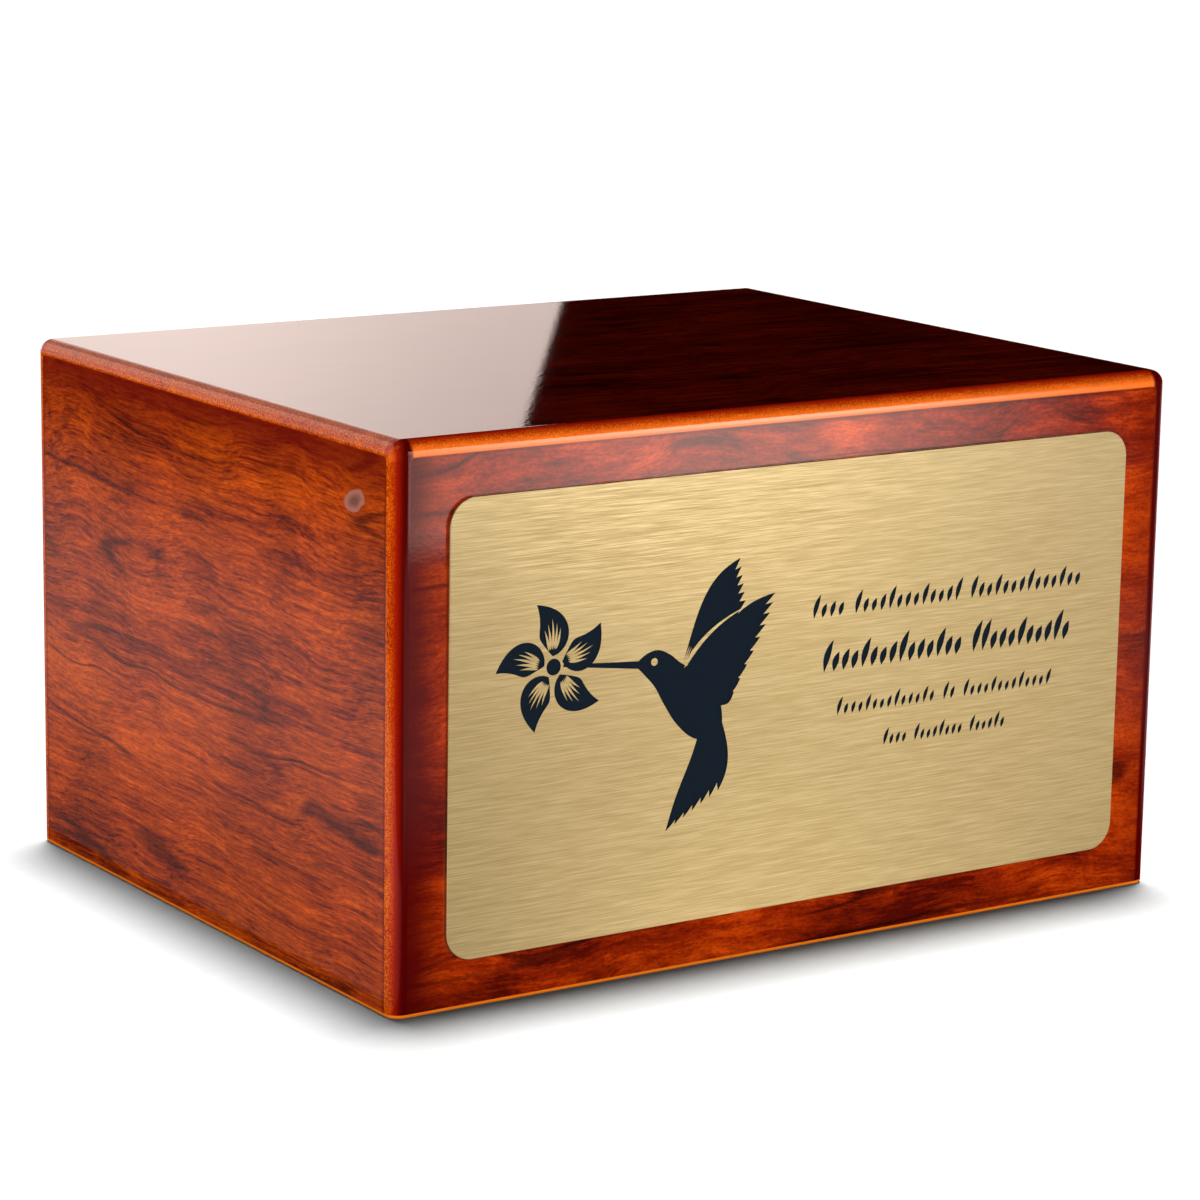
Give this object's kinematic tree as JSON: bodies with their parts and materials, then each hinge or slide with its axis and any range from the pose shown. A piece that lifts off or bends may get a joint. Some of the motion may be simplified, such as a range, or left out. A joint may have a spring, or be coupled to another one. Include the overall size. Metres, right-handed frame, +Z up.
{
  "type": "cremation urn box",
  "caption": "Rectangular glossy wood-veneered urn box with rounded edges, a closed hollow inside, a screwed base panel and an engraved brushed nameplate on the front.",
  "frame": {"origin": "bottom centre of the whole object, nameplate included, on the surface that it stands on", "axes": "+X along the front to the right as seen from the front, +Y from the front to the back, +Z up"},
  "size_m": [0.23, 0.185, 0.136],
  "materials": {
    "veneered_board": "dark red veneer under high-gloss lacquer, with orange-stained edges",
    "base_board": "stained board, matt",
    "brushed_plate": "light gold, brushed along its length, with dark-filled engraving",
    "zinc_screw": "dull zinc plating"
  },
  "bodies": {
    "root": {"top_panel": "veneered_board", "front_wall": "veneered_board", "right_wall": "veneered_board", "back_wall": "veneered_board", "left_wall": "veneered_board", "base_panel": "base_board", "nameplate": "brushed_plate", "base_screw_front_left": "zinc_screw", "base_screw_front_right": "zinc_screw", "base_screw_back_left": "zinc_screw", "base_screw_back_right": "zinc_screw"}
  },
  "joints": []
}
